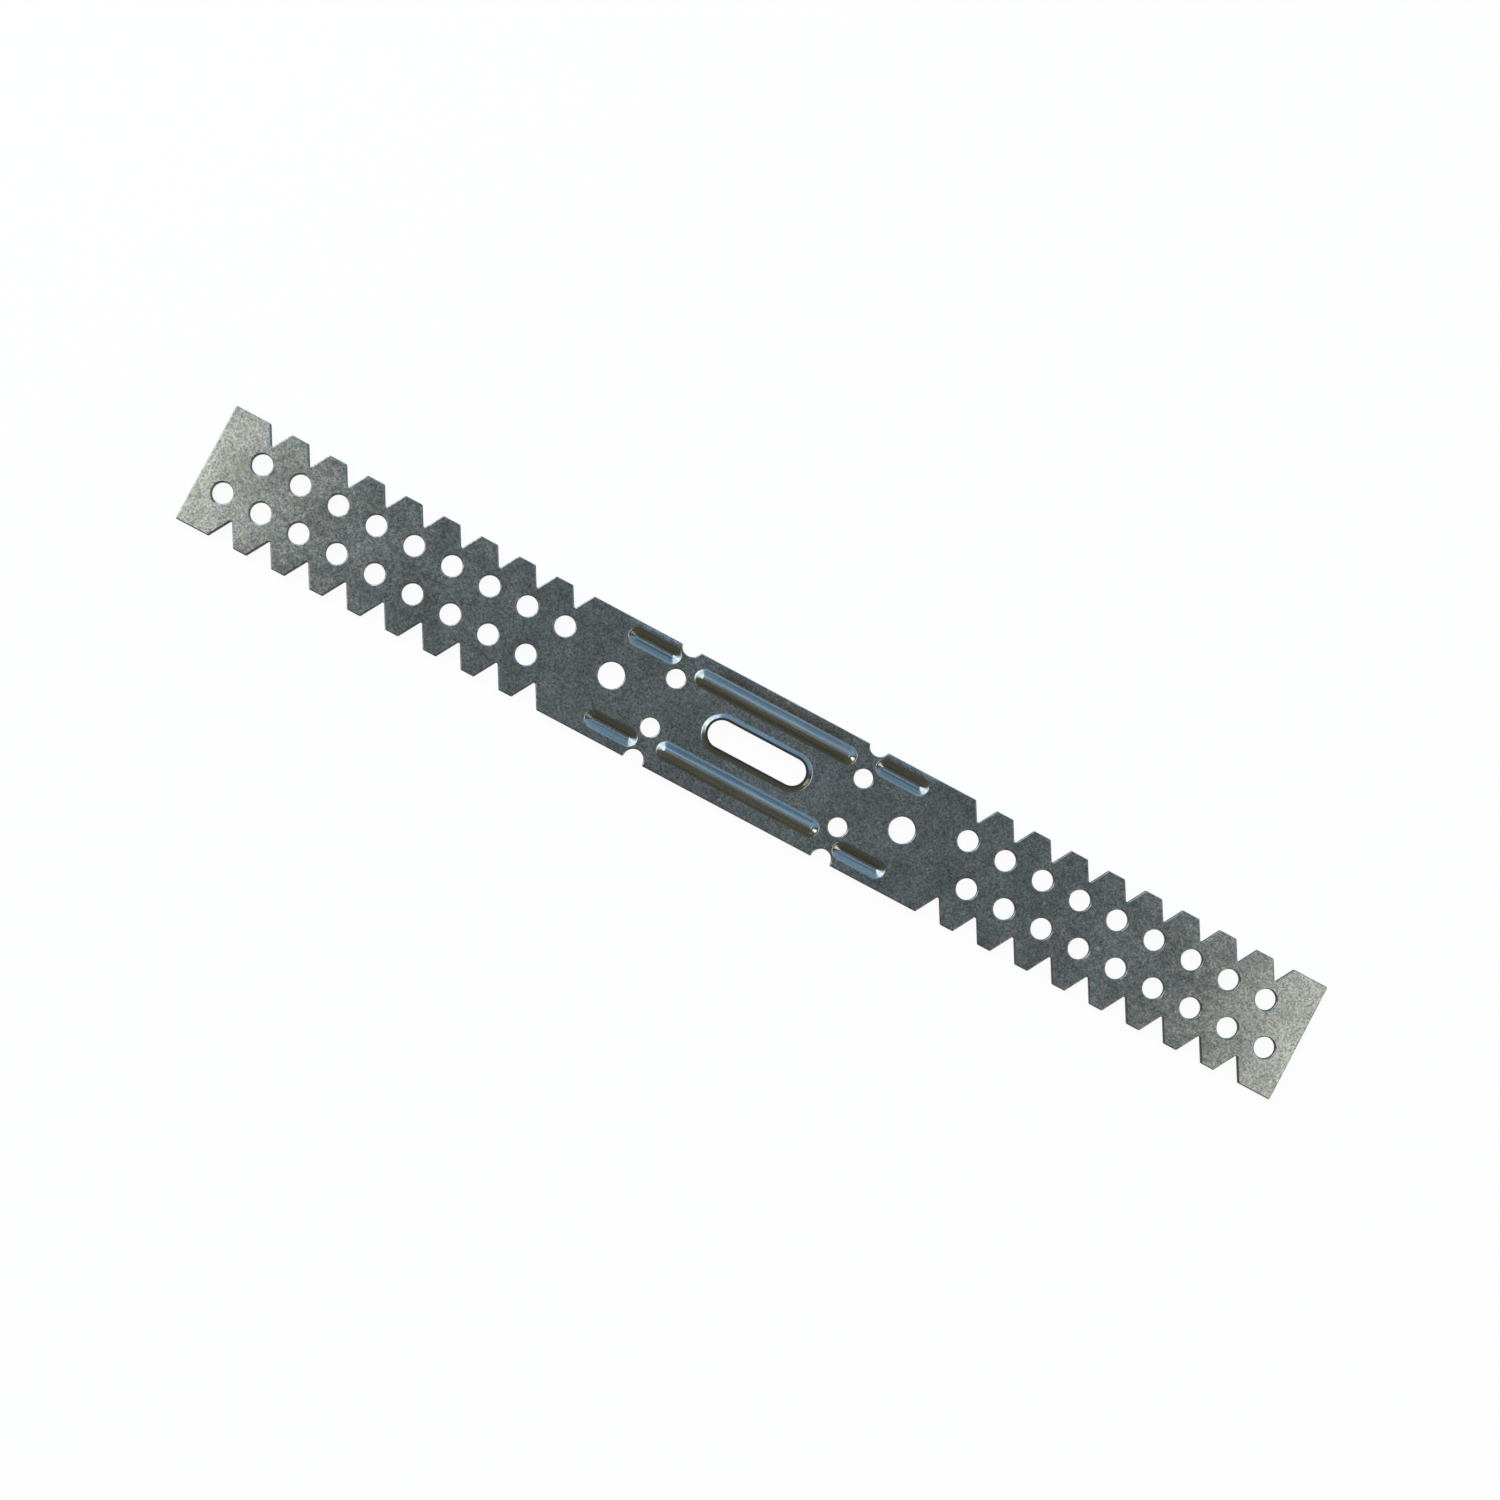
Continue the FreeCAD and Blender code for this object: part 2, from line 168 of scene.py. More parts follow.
# %% Corners of one long edge
BASE_WIDTH = 50.0
EDGE_CLEAR, BASE_EDGE_POINTS, LEG_EDGE_POINTS = 4.0, 29, 15
bend_x = BASE_WIDTH / 2
print(f"bend lines at x = ±{bend_x:.1f} mm")


def long_edge(side):
    """Corners and roundings of the lower (side -1) or upper (side 1) edge, with x rising."""
    notches, notch_radii = leg_notches(side)
    bite, bite_radii = bend_bite(side)
    base = np.linspace(-bend_x + EDGE_CLEAR, bend_x - EDGE_CLEAR, BASE_EDGE_POINTS)
    leg = np.linspace(bend_x + EDGE_CLEAR, stroke_x[stroke_x > 0][0] - EDGE_CLEAR, LEG_EDGE_POINTS)
    straight = [np.column_stack([x, np.full(len(x), side * half_strip)]) for x in (-leg[::-1], base, leg)]
    even_base, even_leg = np.zeros(BASE_EDGE_POINTS), np.zeros(LEG_EDGE_POINTS)
    half = len(notches) // 2
    corners = [notches[:half], straight[0], bite - (bend_x, 0), straight[1], bite + (bend_x, 0),
               straight[2], notches[half:]]
    radii = [notch_radii[:half], even_leg, bite_radii, even_base, bite_radii,
             even_leg, notch_radii[half:]]
    return np.concatenate(corners), np.concatenate(radii)


# %% Close the outline
OUTLINE_STEPS = 4
lower, lower_radii = long_edge(-1)
upper, upper_radii = long_edge(1)
ends = np.array([[low[0], low[1]], [high[0], low[1]], [high[0], high[1]], [low[0], high[1]]])
corners = np.concatenate([ends[:1], lower, ends[1:3], upper[::-1], ends[3:]])
radii = np.concatenate([[CORNER_ROUNDING], lower_radii, [CORNER_ROUNDING] * 2, upper_radii[::-1],
                        [CORNER_ROUNDING]])
outline_points, outline_heading = soften(corners, radii, OUTLINE_STEPS, closed=True)
inward = np.column_stack([-np.sin(outline_heading), np.cos(outline_heading)])
outline = (outline_points, inward)
print("outline:", len(outline_points), "points")


# %% [markdown]
# ## Rings
# Holes, beads and the slot are all rings about a spine: a point for a round hole, a short line for a
# bead or the slot. A place on such a surface is then its spine point plus a distance along an outward
# direction, so a whole feature is a function of two parameters: how far round, and how far out.

# %% Rings about a spine
def ring(centre, half_run=0.0, turn_steps=24, run_steps=12):
    """Spine points and outward directions once round a line along x, anticlockwise.

    Round an end the spine point stays and the direction turns by half a circle. Along a side the spine
    point moves and the direction stays square to the line. With no run the ring is a plain circle.
    """
    if half_run == 0:
        angle = np.linspace(0, 2 * np.pi, 2 * turn_steps, endpoint=False)
        along = np.zeros(len(angle))
    else:
        end = np.linspace(-np.pi / 2, np.pi / 2, turn_steps + 1)
        run = np.linspace(half_run, -half_run, run_steps + 1)[1:-1]
        still = np.full(len(end), half_run)
        square = np.full(len(run), np.pi / 2)
        angle = np.concatenate([end, square, end + np.pi, -square])
        along = np.concatenate([still, run, -still, -run])
    spine = np.asarray(centre) + np.column_stack([along, 0 * along])
    return spine, np.column_stack([np.cos(angle), np.sin(angle)])


# %% [markdown]
# ## Sections
# A punch leaves a rounded upper edge, where the sheet is drawn in before it tears, then an upright
# wall and a small break below. The collar round the slot and the beads are the same sheet turned up or
# down. Each section is a line of corners in two numbers, the distance out and the height. It begins and
# ends with a lead along the flat sheet, which only sets the heading there and is cut off again.

# %% Section of a punched edge
ROLL, BREAK, EDGE_STEPS = 0.3, 0.06, 5
LEAD = 2.0


def section(corners, radii, steps, keep=slice(None)):
    """Distance, height and the two parts of the outward normal along a section, as four columns.

    The metal lies to the left of the line, so the normal is the heading turned a quarter to the right.
    """
    points, heading = soften(corners, radii, steps)
    return np.column_stack([points, np.sin(heading), -np.cos(heading)])[keep]


def punched_edge(wall):
    """From the upper face over the rolled edge, down the wall and round the break to the underside."""
    corners = [(wall + LEAD, TOP), (wall, TOP), (wall, UNDER), (wall + LEAD, UNDER)]
    return section(corners, [0, ROLL, BREAK, 0], EDGE_STEPS, keep=slice(1, -1))


# %% Section of the slot's collar
SLOT_LENGTH, SLOT_WIDTH = 25.3, 6.6
COLLAR_REACH, COLLAR_LIP, COLLAR_HEIGHT = 1.45, 0.6, 0.55
FOOT_RADIUS, LIP_RADIUS, MOUTH_RADIUS, COLLAR_STEPS = 1.2, 0.12, 2.0, 6
slot_edge = SLOT_WIDTH / 2
collar_slope = np.arctan2(COLLAR_HEIGHT, COLLAR_REACH - COLLAR_LIP)
lip_z = TOP + COLLAR_HEIGHT
collar_foot = slot_edge + COLLAR_REACH
under_wall_z = TOP + COLLAR_REACH * np.tan(collar_slope) - THICKNESS / np.cos(collar_slope)
under_foot = collar_foot - THICKNESS * np.tan(collar_slope / 2)
collar = section(
    [(collar_foot + LEAD, TOP), (collar_foot, TOP), (slot_edge + COLLAR_LIP, lip_z), (slot_edge, lip_z),
     (slot_edge, under_wall_z), (under_foot, UNDER), (under_foot + LEAD, UNDER)],
    [0, FOOT_RADIUS, LIP_RADIUS, LIP_RADIUS, LIP_RADIUS, MOUTH_RADIUS, 0],
    COLLAR_STEPS, keep=slice(1, -1))
print(f"collar {COLLAR_HEIGHT} mm high, its side at {np.degrees(collar_slope):.0f} degrees")

# %% Sections of a bead
BEAD_CREST, BEAD_STEPS = 0.05, 8
RAISED_FLANK_DEG, RAISED_CROWN_RADIUS, RAISED_FOOT_RADIUS = 42.0, 1.5, 1.1
SUNK_FLANK_DEG, SUNK_CROWN_RADIUS, SUNK_FOOT_RADIUS = 36.0, 1.8, 0.05


def bead_face(level, rise, flank, crown, foot):
    """One face of a bead from the flat sheet in to the crest line: foot arc, short flank, crown arc."""
    crown_corner = BEAD_CREST + crown * np.tan(flank / 2)
    foot_corner = crown_corner + abs(rise) / np.tan(flank)
    corners = [(foot_corner + LEAD, level), (foot_corner, level), (crown_corner, level + rise),
               (0, level + rise)]
    return corners, [0, foot, crown, 0]


def bead(rise, flank_deg, crown, foot):
    """Upper and lower section of a bead, a sheet's thickness apart.

    The radii are those of the side that bulges. The other side has the crown less a sheet and the foot
    plus a sheet, so both flanks are parallel.
    """
    flank = np.radians(flank_deg)
    outer = crown, foot
    inner = crown - THICKNESS, foot + THICKNESS
    above, below = (outer, inner) if rise > 0 else (inner, outer)
    corners, radii = bead_face(TOP, rise, flank, *above)
    upper_face = section(corners, radii, BEAD_STEPS, keep=slice(1, None))
    corners, radii = bead_face(UNDER, rise, flank, *below)
    lower_face = section(corners[::-1], radii[::-1], BEAD_STEPS, keep=slice(None, -1))
    return upper_face, lower_face


raised_upper, raised_lower = bead(BEAD_RISE, RAISED_FLANK_DEG, RAISED_CROWN_RADIUS, RAISED_FOOT_RADIUS)
sunk_upper, sunk_lower = bead(-BEAD_RISE, SUNK_FLANK_DEG, SUNK_CROWN_RADIUS, SUNK_FOOT_RADIUS)
print(f"raised bead: foot {raised_upper[0, 0]:.2f} mm from the crest line above, "
      f"{raised_lower[-1, 0]:.2f} mm below")

# %% [markdown]
# ## The skin
# Carrying a section along a path gives a grid of points. Boolean cuts could make the holes as well, but
# they leave thin faces that shade badly. Here the edge rows of the grids are kept, so that the flat
# sheet can be filled in between them later with no seam left open. Three numbers on each point say how
# far it was sheared, pressed, and made lighter along a crest line, which the finish needs. That last one
# is wear from rubbing on the raised crests and a painted highlight along the bottoms of the sunk beads.

# %% Carry a section along a path
FINISHES = ("sheared", "pressed", "rubbed")
patches, upper_rings, lower_rings = [], [], []


def carry(path, profile, rings, **finish):
    """Place = spine + distance times direction, at the section's height, for all points at once.

    The marks of the section's finish hold for every point at that place in the section.
    """
    spine, direction = path
    distance, height, out, up = (profile[:, i, None, None] for i in range(4))
    shape = (len(profile), len(spine), 1)
    place = np.concatenate([spine + distance * direction, np.broadcast_to(height, shape)], axis=2)
    normal = np.concatenate([out * direction, np.broadcast_to(up, shape)], axis=2)
    columns = [finish.get(name, np.zeros(len(profile))) for name in FINISHES]
    marks = np.broadcast_to(np.column_stack(columns)[:, None], (*shape[:2], len(FINISHES)))
    made_before = sum(patch[3].size for patch in patches)
    index = made_before + np.arange(shape[0] * shape[1]).reshape(shape[:2])
    patches.append((place, normal, marks, index))
    for row, collection in rings:
        collection.append(index[row])


# %% Marks for the finish
def wall_mark(profile):
    """Twice the outward part of the normal less 1: 1 on an upright wall, 0 on the rounded edges."""
    return np.clip(2 * np.abs(profile[:, 2]) - 1, 0, 1)


def slope_mark(profile):
    """Four times the outward part of the normal, at most 1: 0 where a slope runs out into the sheet."""
    return np.clip(4 * np.abs(profile[:, 2]), 0, 1)


def crest_mark(profile, most, reach):
    """This much along the crest line, falling evenly to 0 at this reach from it."""
    return most * np.clip(1 - profile[:, 0] / reach, 0, 1)


# %% Carry the punched edges
BEND_HOLE_RADIUS, BEND_HOLE_INSET = 2.3, 8.5
both = [(0, upper_rings), (-1, lower_rings)]
outline_edge = punched_edge(0)
carry(outline, outline_edge, both, sheared=wall_mark(outline_edge))
bend_holes = [(x, PATTERN_Y + side * (half_strip - BEND_HOLE_INSET))
              for x in (-bend_x, bend_x) for side in (-1, 1)]
for centres, radius in ((leg_holes, LEG_HOLE_RADIUS), (fixing_holes, FIXING_HOLE_RADIUS),
                        (bend_holes, BEND_HOLE_RADIUS)):
    hole_edge = punched_edge(radius)
    for centre in centres:
        carry(ring(centre), hole_edge, both, sheared=wall_mark(hole_edge))
print("punched edges:", len(patches))

# %% Carry the collar's section
on_lip = (collar[:, 0] < slot_edge + COLLAR_LIP) & (collar[:, 1] > under_wall_z)
slot_path = ring((0, PATTERN_Y), (SLOT_LENGTH - SLOT_WIDTH) / 2)
carry(slot_path, collar, both, sheared=on_lip, pressed=slope_mark(collar) * ~on_lip)

# %% Carry the bead sections
BEAD_HALF_WIDTH = 2.3
RAISED_BEAD_LENGTH, RAISED_BEAD_INSET = 42.8, 5.4
SUNK_BEAD_LENGTH, SUNK_BEAD_INSET, SUNK_BEAD_START = 13.8, 4.0, 1.1
# Crest lines are painted lighter: on the raised beads this is wear from rubbing, and along the bottoms of
# the sunk beads it is a painted highlight.
RAISED_RUB, SUNK_PAINTED_HIGHLIGHT = (1.0, 1.5), (0.5, 0.45)  # how much along the crest, and how far from it
raised_run = RAISED_BEAD_LENGTH / 2 - BEAD_HALF_WIDTH
sunk_run = SUNK_BEAD_LENGTH / 2 - BEAD_HALF_WIDTH
sunk_x = bend_x + SUNK_BEAD_START + SUNK_BEAD_LENGTH / 2
for side in (-1, 1):
    raised_path = ring((0, PATTERN_Y + side * (half_strip - RAISED_BEAD_INSET)), raised_run)
    bead_sections = [(raised_path, raised_upper, raised_lower, RAISED_RUB)]
    for leg in (-1, 1):
        sunk_middle = (leg * sunk_x, PATTERN_Y + side * (half_strip - SUNK_BEAD_INSET))
        sunk_path = ring(sunk_middle, sunk_run, run_steps=6)
        bead_sections.append((sunk_path, sunk_upper, sunk_lower, SUNK_PAINTED_HIGHLIGHT))
    for path, upper_face, lower_face, rub_and_highlight in bead_sections:
        # The crest mark on the upper face is wear on the raised beads and a painted highlight on the sunk
        # beads.
        carry(path, upper_face, [(0, upper_rings)], pressed=slope_mark(upper_face),
              rubbed=crest_mark(upper_face, *rub_and_highlight))
        carry(path, lower_face, [(-1, lower_rings)], pressed=slope_mark(lower_face))
places = np.concatenate([patch[0].reshape(-1, 3) for patch in patches])
normals = np.concatenate([patch[1].reshape(-1, 3) for patch in patches])
marks = np.concatenate([patch[2].reshape(-1, len(FINISHES)) for patch in patches])
print(len(patches), "patches,", len(places), "points")

# %% [markdown]
# ## Margins bent by the press
# The punched pattern sits a little off the strip's middle, so the upper margin is the narrower one. The
# press has curled it up beside the raised bead and drawn it down beside the sunk beads. That is only a
# few tenths of a millimetre, but sheet that mirrors its surroundings shows it: the curled margin looks
# dark, and the drawn one has a cool line along its edge. Bending is a height added to every point of the
# sheet there, and each normal leans against the slope of that height.

# %% Bend the upper margin
CURL, DRAW = 0.38, -0.17
DRAWN_SHARE = 0.65  # half of the drawn stretch, as a share of the sunk bead's length
ON_FOOT = 1e-6


def bend_margin(middle_x, half_run, foot_y, lift, steep_at_edge):
    """Add a height that grows from nothing at a bead's foot to this lift at the strip's upper edge.

    With t from 0 at the foot to 1 at the edge, the height is the lift times t to the power 1.5 where the
    sheet is steepest at the edge, and the lift times (1 - (1 - t) to the power 1.5) where it is steepest
    at the bead. It fades out over the last quarter of the run.
    """
    width = high[1] - foot_y
    t = np.clip((places[:, 1] - foot_y) / width, 0, 1)
    fade = np.clip(4 * (1 - np.abs(places[:, 0] - middle_x) / half_run), 0, 1)
    strength = lift * fade * fade * (3 - 2 * fade) * (places[:, 1] > foot_y - ON_FOOT)
    places[:, 2] += strength * (t ** 1.5 if steep_at_edge else 1 - (1 - t) ** 1.5)
    normals[:, 1] -= normals[:, 2] * strength * 1.5 * np.sqrt(t if steep_at_edge else 1 - t) / width
    normals[:] /= np.linalg.norm(normals, axis=1, keepdims=True)


raised_foot_y = PATTERN_Y + half_strip - RAISED_BEAD_INSET + raised_upper[0, 0]
sunk_foot_y = PATTERN_Y + half_strip - SUNK_BEAD_INSET + sunk_upper[0, 0]
bend_margin(0, raised_run, raised_foot_y, CURL, steep_at_edge=False)
for leg in (-1, 1):
    bend_margin(leg * sunk_x, SUNK_BEAD_LENGTH * DRAWN_SHARE, sunk_foot_y, DRAW, steep_at_edge=True)
print(f"upper margin curled by {CURL} mm and drawn by {-DRAW} mm")

# %% [markdown]
# ## The flat sheet
# What is left between the rings is plain sheet. A triangulation that keeps every ring as a border fills
# it in one go, on the upper face and on the underside. The exact normals are stored on the points, so
# long flat triangles beside small curved faces leave no marks in the shading.

# %% Fill the flat faces between the rings
INSIDE_BORDERS, TOUCHING = 1, 1e-7


def fill(rings):
    """Triangles between an outline and the rings inside it.

    Every ring inside is convex, so a triangle with all three corners on one such ring lies in the ring
    and is dropped.
    """
    index = np.concatenate(rings)
    owner = np.repeat(np.arange(len(rings)), [len(r) for r in rings])
    first = np.cumsum([0] + [len(r) for r in rings[:-1]])
    here = np.arange(len(index))
    following = here + 1
    following[first[1:] - 1] = first[:-1]
    following[-1] = first[-1]
    flat = [Vector(p) for p in places[index, :2]]
    borders = np.column_stack([here, following]).tolist()
    made = delaunay_2d_cdt(flat, borders, [], INSIDE_BORDERS, TOUCHING)
    assert len(made[0]) == len(index), "two rings touch or cross"
    triangles = np.array(made[2])
    ring_of = owner[triangles]
    inside_hole = (ring_of == ring_of[:, :1]).all(axis=1) & (ring_of[:, 0] > 0)
    print("flat face:", len(index), "border points,", (~inside_hole).sum(), "triangles")
    return index[triangles[~inside_hole]]


def grid_quads(index):
    """Four-cornered faces between neighbouring rows of a grid that closes on itself along its rows."""
    beside = np.roll(index, -1, axis=1)
    return np.stack([index[:-1], beside[:-1], beside[1:], index[1:]], axis=-1).reshape(-1, 4)


triangles = np.concatenate([fill(upper_rings), fill(lower_rings)])
quads = np.concatenate([grid_quads(patch[3]) for patch in patches])

# %% Join the crest lines
JOIN_DIGITS = 5
_, kept, joined = np.unique(places.round(JOIN_DIGITS), axis=0, return_index=True, return_inverse=True)
joined = joined.reshape(-1)
quads, triangles = joined[quads], joined[triangles]
places, normals, marks = places[kept], normals[kept], marks[kept].astype(np.float32)
pinched_last, pinched_first = quads[:, 2] == quads[:, 3], quads[:, 0] == quads[:, 1]
triangles = np.concatenate([triangles, quads[pinched_last][:, :3], quads[pinched_first][:, 1:]])
quads = quads[~pinched_last & ~pinched_first]
print("joined", len(joined) - len(kept), "doubled points along the crests")


# %% Turn every face outwards and make the mesh
def outwards(faces):
    """Reverse each face whose own normal points against the normals of its corners."""
    a, b, c = (places[faces[:, i]] for i in (0, 1, 2))
    against = np.einsum("ij,ij->i", np.cross(b - a, c - a), normals[faces].sum(axis=1)) < 0
    return np.where(against[:, None], faces[:, ::-1], faces)


faces = outwards(quads).tolist() + outwards(triangles).tolist()
mesh = bpy.data.meshes.new("hanger_skin")
mesh.from_pydata((places * MM).tolist(), [], faces)
mesh.polygons.foreach_set("use_smooth", np.ones(len(faces), bool))
for name, mark in zip(FINISHES, marks.T):
    mesh.attributes.new(name, "FLOAT", "POINT").data.foreach_set("value", np.ascontiguousarray(mark))
mesh.normals_split_custom_set_from_vertices(normals.tolist())
strip = bpy.data.objects.new("hanger_skin", mesh)
bpy.context.scene.collection.objects.link(strip)
print("skin:", len(places), "points,", len(quads) * 2 + len(triangles), "triangles")

# %% [markdown]
# ## The skin against the CAD solid
# The skin stands for the CAD strip, so it has to be closed and to lie close to it. Every edge of a
# closed mesh has exactly two faces. The distance to the solid is measured at a share of the points,
# which is enough because neighbouring points hardly differ.

# %% Measure the skin against the CAD solid
MEASURE_EVERY = 7
edge_faces = np.zeros(len(mesh.edges), int)
np.add.at(edge_faces, np.array([loop.edge_index for loop in mesh.loops]), 1)
solid = BVHTree.FromObject(frame["nodes"]["hanger_strip"], bpy.context.evaluated_depsgraph_get())
gaps = np.array([solid.find_nearest(Vector(p * MM))[3] for p in places[::MEASURE_EVERY]]) / MM
print("open or doubled edges:", int((edge_faces != 2).sum()),
      f"largest distance from the CAD surface {gaps.max():.3f} mm, mean {gaps.mean():.3f} mm")
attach(strip, "root")
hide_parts("hanger_strip")

# %% [markdown]
# ## Hot-dip galvanised steel
# The strip runs through molten zinc and is then smoothed between rollers. The zinc freezes as small
# grains that lie at slightly different angles, so the eye sees a dull, mottled grey with greenish and
# brownish patches, a fine speckle and a few bright scuffs. A picture of zinc could be wrapped round the
# strip, but noise in real sizes has no seams and looks right from all sides.


# %% Helpers for materials
def linear(hex_colour):
    """An sRGB colour such as #8a9092 as linear red, green, blue and alpha."""
    srgb = np.array([int(hex_colour[i:i + 2], 16) for i in (1, 3, 5)]) / 255
    rgb = np.where(srgb <= 0.04045, srgb / 12.92, ((srgb + 0.055) / 1.055) ** 2.4)
    return (*rgb, 1.0)


def add(tree, kind, inputs=None, **settings):
    """Add a node, give it its settings, and set each input or link it where the value is a socket."""
    node = tree.nodes.new(kind)
    for name, value in settings.items():
        setattr(node, name, value)
    for name, value in (inputs or {}).items():
        if isinstance(value, bpy.types.NodeSocket):
            tree.links.new(value, node.inputs[name])
        else:
            node.inputs[name].default_value = value
    return node


def per_metre(size_mm):
    """A texture's scale for features of this size."""
    return 1 / (size_mm * MM)


# %% The zinc's noises
# Size in millimetres, detail and roughness of each.
NOISES = {"patch": (1.4, 2.0, 0.6), "cloud": (11.0, 3.0, 0.65), "grain": (0.5, 2.0, 0.75),
          "scuff": (1.6, 1.0, 0.5)}
zinc = bpy.data.materials.new("hot_dip_galvanised_steel")
zinc.use_nodes = True
tree = zinc.node_tree
tree.nodes.clear()
where = add(tree, "ShaderNodeTexCoord").outputs["Object"]
noise = {name: add(tree, "ShaderNodeTexNoise", {"Vector": where, "Scale": per_metre(size),
                                                "Detail": detail, "Roughness": roughness}).outputs
         for name, (size, detail, roughness) in NOISES.items()}
print("zinc grains of", NOISES["grain"][0], "mm in patches of", NOISES["patch"][0], "mm")

# %% Patches, clouds, grains and scuffs
TINT_SHARE = 0.4
COLOUR_A, COLOUR_B, COLOUR_OUT = 6, 7, 2  # a Mix node's sockets for colours
tint = add(tree, "ShaderNodeVectorMath",
           {0: noise["patch"]["Color"], 1: (TINT_SHARE,) * 3, 2: (1 - TINT_SHARE / 2,) * 3},
           operation="MULTIPLY_ADD").outputs[0]
patch_colour = add(tree, "ShaderNodeVectorMath", {0: tint, 1: linear("#83898c")[:3]},
                   operation="MULTIPLY").outputs[0]
cloud_shade = add(tree, "ShaderNodeMapRange", {"Value": noise["cloud"]["Fac"], "From Min": 0.3,
                                               "From Max": 0.7, "To Min": 0.8, "To Max": 1.2}).outputs[0]
clouded = add(tree, "ShaderNodeHueSaturation", {"Color": patch_colour, "Value": cloud_shade}).outputs[0]
grain_shade = add(tree, "ShaderNodeMapRange", {"Value": noise["grain"]["Fac"], "From Min": 0.32,
                                               "From Max": 0.68, "To Min": 0.5, "To Max": 1.5}).outputs[0]
grained = add(tree, "ShaderNodeHueSaturation", {"Color": clouded, "Value": grain_shade}).outputs[0]
scuff_share = add(tree, "ShaderNodeMapRange", {"Value": noise["scuff"]["Fac"], "From Min": 0.73,
                                               "From Max": 0.80, "To Max": 0.7}).outputs[0]
scuffed = add(tree, "ShaderNodeMix",
              {"Factor": scuff_share, COLOUR_A: grained, COLOUR_B: linear("#b9bab4")},
              data_type="RGBA").outputs[COLOUR_OUT]

# %% [markdown]
# ## Pressed and sheared faces, worn crests and painted highlights
# Pressing smears the grains and draws fine lines along the beads. Strips that are stacked and carried
# wear each other bright along the raised crests. Along the bottoms of the sunk beads, where nothing
# touches, the same lighter colour is a painted highlight. Where the punch sheared the sheet there is no
# zinc, so the wall is bare steel, darker and rougher. The marks on the skin's points say where each of
# these is, so the finish follows the shape with no painting by hand.

# %% Drawn lines
# They are really finer than 0.1 mm and are drawn coarser so that they show.
STREAK_MM, STREAK_LENGTH_MM = 0.3, 14.0
sheared, pressed, rubbed = (add(tree, "ShaderNodeAttribute", attribute_name=name).outputs["Fac"]
                            for name in FINISHES)
drawn_out = add(tree, "ShaderNodeMapping",
                {"Vector": where, "Scale": (STREAK_MM / STREAK_LENGTH_MM, 1, 1)}).outputs[0]
streak_noise = add(tree, "ShaderNodeTexNoise", {"Vector": drawn_out, "Scale": per_metre(STREAK_MM),
                                                "Detail": 2.0, "Roughness": 0.6}).outputs["Fac"]
streak_shade = add(tree, "ShaderNodeMapRange", {"Value": streak_noise, "From Min": 0.3, "From Max": 0.7,
                                                "To Min": 0.75, "To Max": 1.25}).outputs[0]
streaked = add(tree, "ShaderNodeHueSaturation",
               {"Color": linear("#868c8c"), "Value": streak_shade}).outputs[0]
print("drawn lines", STREAK_MM, "mm wide and", STREAK_LENGTH_MM, "mm long")

# %% Colour of the worked faces
DRAWN_MOST, RUBBED_AND_HIGHLIGHT_BRIGHTER = 0.75, 1.45
touched = add(tree, "ShaderNodeMath", {0: pressed, 1: rubbed}, operation="MAXIMUM").outputs[0]
drawn = add(tree, "ShaderNodeMath", {0: touched, 1: DRAWN_MOST}, operation="MULTIPLY").outputs[0]
# The crest lines are painted lighter here: wear on the raised crests, and a painted highlight along the
# sunk beads' bottoms.
rub_and_highlight_shade = add(tree, "ShaderNodeMapRange",
                {"Value": rubbed, "To Min": 1.0, "To Max": RUBBED_AND_HIGHLIGHT_BRIGHTER}).outputs[0]
rubbed_and_highlight_bright = add(tree, "ShaderNodeHueSaturation", {"Color": streaked, "Value": rub_and_highlight_shade}).outputs[0]
worked = add(tree, "ShaderNodeMix", {"Factor": drawn, COLOUR_A: scuffed, COLOUR_B: rubbed_and_highlight_bright},
             data_type="RGBA").outputs[COLOUR_OUT]
colour = add(tree, "ShaderNodeMix", {"Factor": sheared, COLOUR_A: worked, COLOUR_B: linear("#3e4142")},
             data_type="RGBA").outputs[COLOUR_OUT]

# %% Roughness and fine relief
ZINC_SMOOTHEST, ZINC_ROUGHEST, DRAWN_ROUGH, SHEARED_ROUGH = 0.13, 0.21, 0.22, 0.45
RELIEF_MM = 0.015
NUMBER_A, NUMBER_B = 2, 3  # a Mix node's sockets for numbers
zinc_rough = add(tree, "ShaderNodeMapRange",
                 {"Value": noise["patch"]["Fac"], "From Min": 0.3, "From Max": 0.7,
                  "To Min": ZINC_SMOOTHEST, "To Max": ZINC_ROUGHEST}).outputs[0]
worked_rough = add(tree, "ShaderNodeMix",
                   {"Factor": drawn, NUMBER_A: zinc_rough, NUMBER_B: DRAWN_ROUGH}).outputs[0]
rough = add(tree, "ShaderNodeMix",
            {"Factor": sheared, NUMBER_A: worked_rough, NUMBER_B: SHEARED_ROUGH}).outputs[0]
relief = add(tree, "ShaderNodeMath", {0: noise["grain"]["Fac"], 1: noise["patch"]["Fac"]},
             operation="ADD").outputs[0]
bump = add(tree, "ShaderNodeBump",
           {"Height": relief, "Strength": 0.2, "Distance": RELIEF_MM * MM}).outputs[0]
shader = add(tree, "ShaderNodeBsdfPrincipled", {"Base Color": colour, "Metallic": 1.0, "Roughness": rough,
                                                "Normal": bump}).outputs[0]
add(tree, "ShaderNodeOutputMaterial", {"Surface": shader})
mesh.materials.append(zinc)
print(zinc.name, "has", len(tree.nodes), "nodes")

# %% [markdown]
# ## Floor
# The strip lies on a plain sheet of matt white paper. Lighting the paper until it looks white would also
# flood the strip with light. So it is simply white to the camera and to reflections, and a small share
# stays plain matt paper, which takes the strip's shadow.

